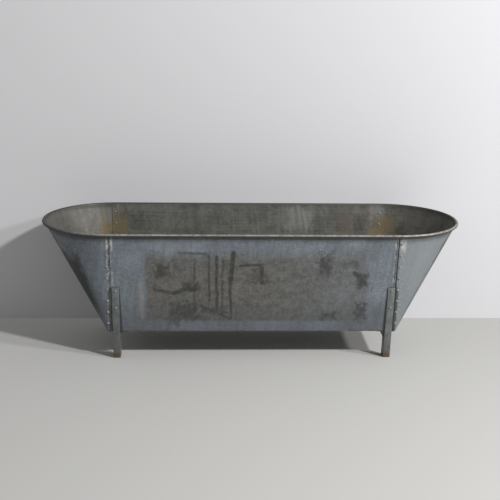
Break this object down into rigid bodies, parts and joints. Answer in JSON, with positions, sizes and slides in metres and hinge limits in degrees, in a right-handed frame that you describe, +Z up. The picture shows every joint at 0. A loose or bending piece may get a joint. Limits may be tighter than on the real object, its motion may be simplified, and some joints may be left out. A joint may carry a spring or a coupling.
{
  "type": "livestock water trough",
  "caption": "Long galvanised stock trough with sloping sides, a wired rim, tapering round ends and angle-iron legs.",
  "frame": {"origin": "on the floor, midway between the four legs: the middle of the bottom of the part's box", "axes": "+X along the trough's length, +Y across it to the back, +Z up"},
  "size_m": [1.7996, 0.6038, 0.565],
  "materials": {
    "galvanised_sheet": "weathered zinc, blue-grey, dull, with dark water stains, pale streaks and a little rust",
    "galvanised_angle": "weathered zinc on angle iron, greenish grey, rusty brown at the feet",
    "wire": "bare iron rod, dark and rusty",
    "rivet": "dull zinc, a dark ring round each head",
    "solder": "dull lead-tin, wiped on unevenly"
  },
  "bodies": {
    "root": {"front_sheet": "galvanised_sheet", "back_sheet": "galvanised_sheet", "bottom_sheet": "galvanised_sheet", "left_end_sheet": "galvanised_sheet", "right_end_sheet": "galvanised_sheet", "rim_wire": "wire", "front_left_leg": "galvanised_angle", "front_right_leg": "galvanised_angle", "back_left_leg": "galvanised_angle", "back_right_leg": "galvanised_angle", "left_bearer": "galvanised_angle", "right_bearer": "galvanised_angle", "left_seam_solder": "solder", "right_seam_solder": "solder", "front_left_seam_rivet_1": "rivet", "front_left_seam_rivet_2": "rivet", "front_left_seam_rivet_3": "rivet", "front_left_seam_rivet_4": "rivet", "front_left_seam_rivet_5": "rivet", "front_left_seam_rivet_6": "rivet", "front_left_seam_rivet_7": "rivet", "front_left_seam_rivet_8": "rivet", "front_right_seam_rivet_1": "rivet", "front_right_seam_rivet_2": "rivet", "front_right_seam_rivet_3": "rivet", "front_right_seam_rivet_4": "rivet", "front_right_seam_rivet_5": "rivet", "front_right_seam_rivet_6": "rivet", "front_right_seam_rivet_7": "rivet", "front_right_seam_rivet_8": "rivet", "back_left_seam_rivet_1": "rivet", "back_left_seam_rivet_2": "rivet", "back_left_seam_rivet_3": "rivet", "back_left_seam_rivet_4": "rivet", "back_left_seam_rivet_5": "rivet", "back_left_seam_rivet_6": "rivet", "back_left_seam_rivet_7": "rivet", "back_left_seam_rivet_8": "rivet", "back_right_seam_rivet_1": "rivet", "back_right_seam_rivet_2": "rivet", "back_right_seam_rivet_3": "rivet", "back_right_seam_rivet_4": "rivet", "back_right_seam_rivet_5": "rivet", "back_right_seam_rivet_6": "rivet", "back_right_seam_rivet_7": "rivet", "back_right_seam_rivet_8": "rivet", "front_left_leg_rivet_1": "rivet", "front_left_leg_rivet_2": "rivet", "front_right_leg_rivet_1": "rivet", "front_right_leg_rivet_2": "rivet", "back_left_leg_rivet_1": "rivet", "back_left_leg_rivet_2": "rivet", "back_right_leg_rivet_1": "rivet", "back_right_leg_rivet_2": "rivet", "front_left_bearer_rivet": "rivet", "front_right_bearer_rivet": "rivet", "back_left_bearer_rivet": "rivet", "back_right_bearer_rivet": "rivet"}
  },
  "joints": []
}
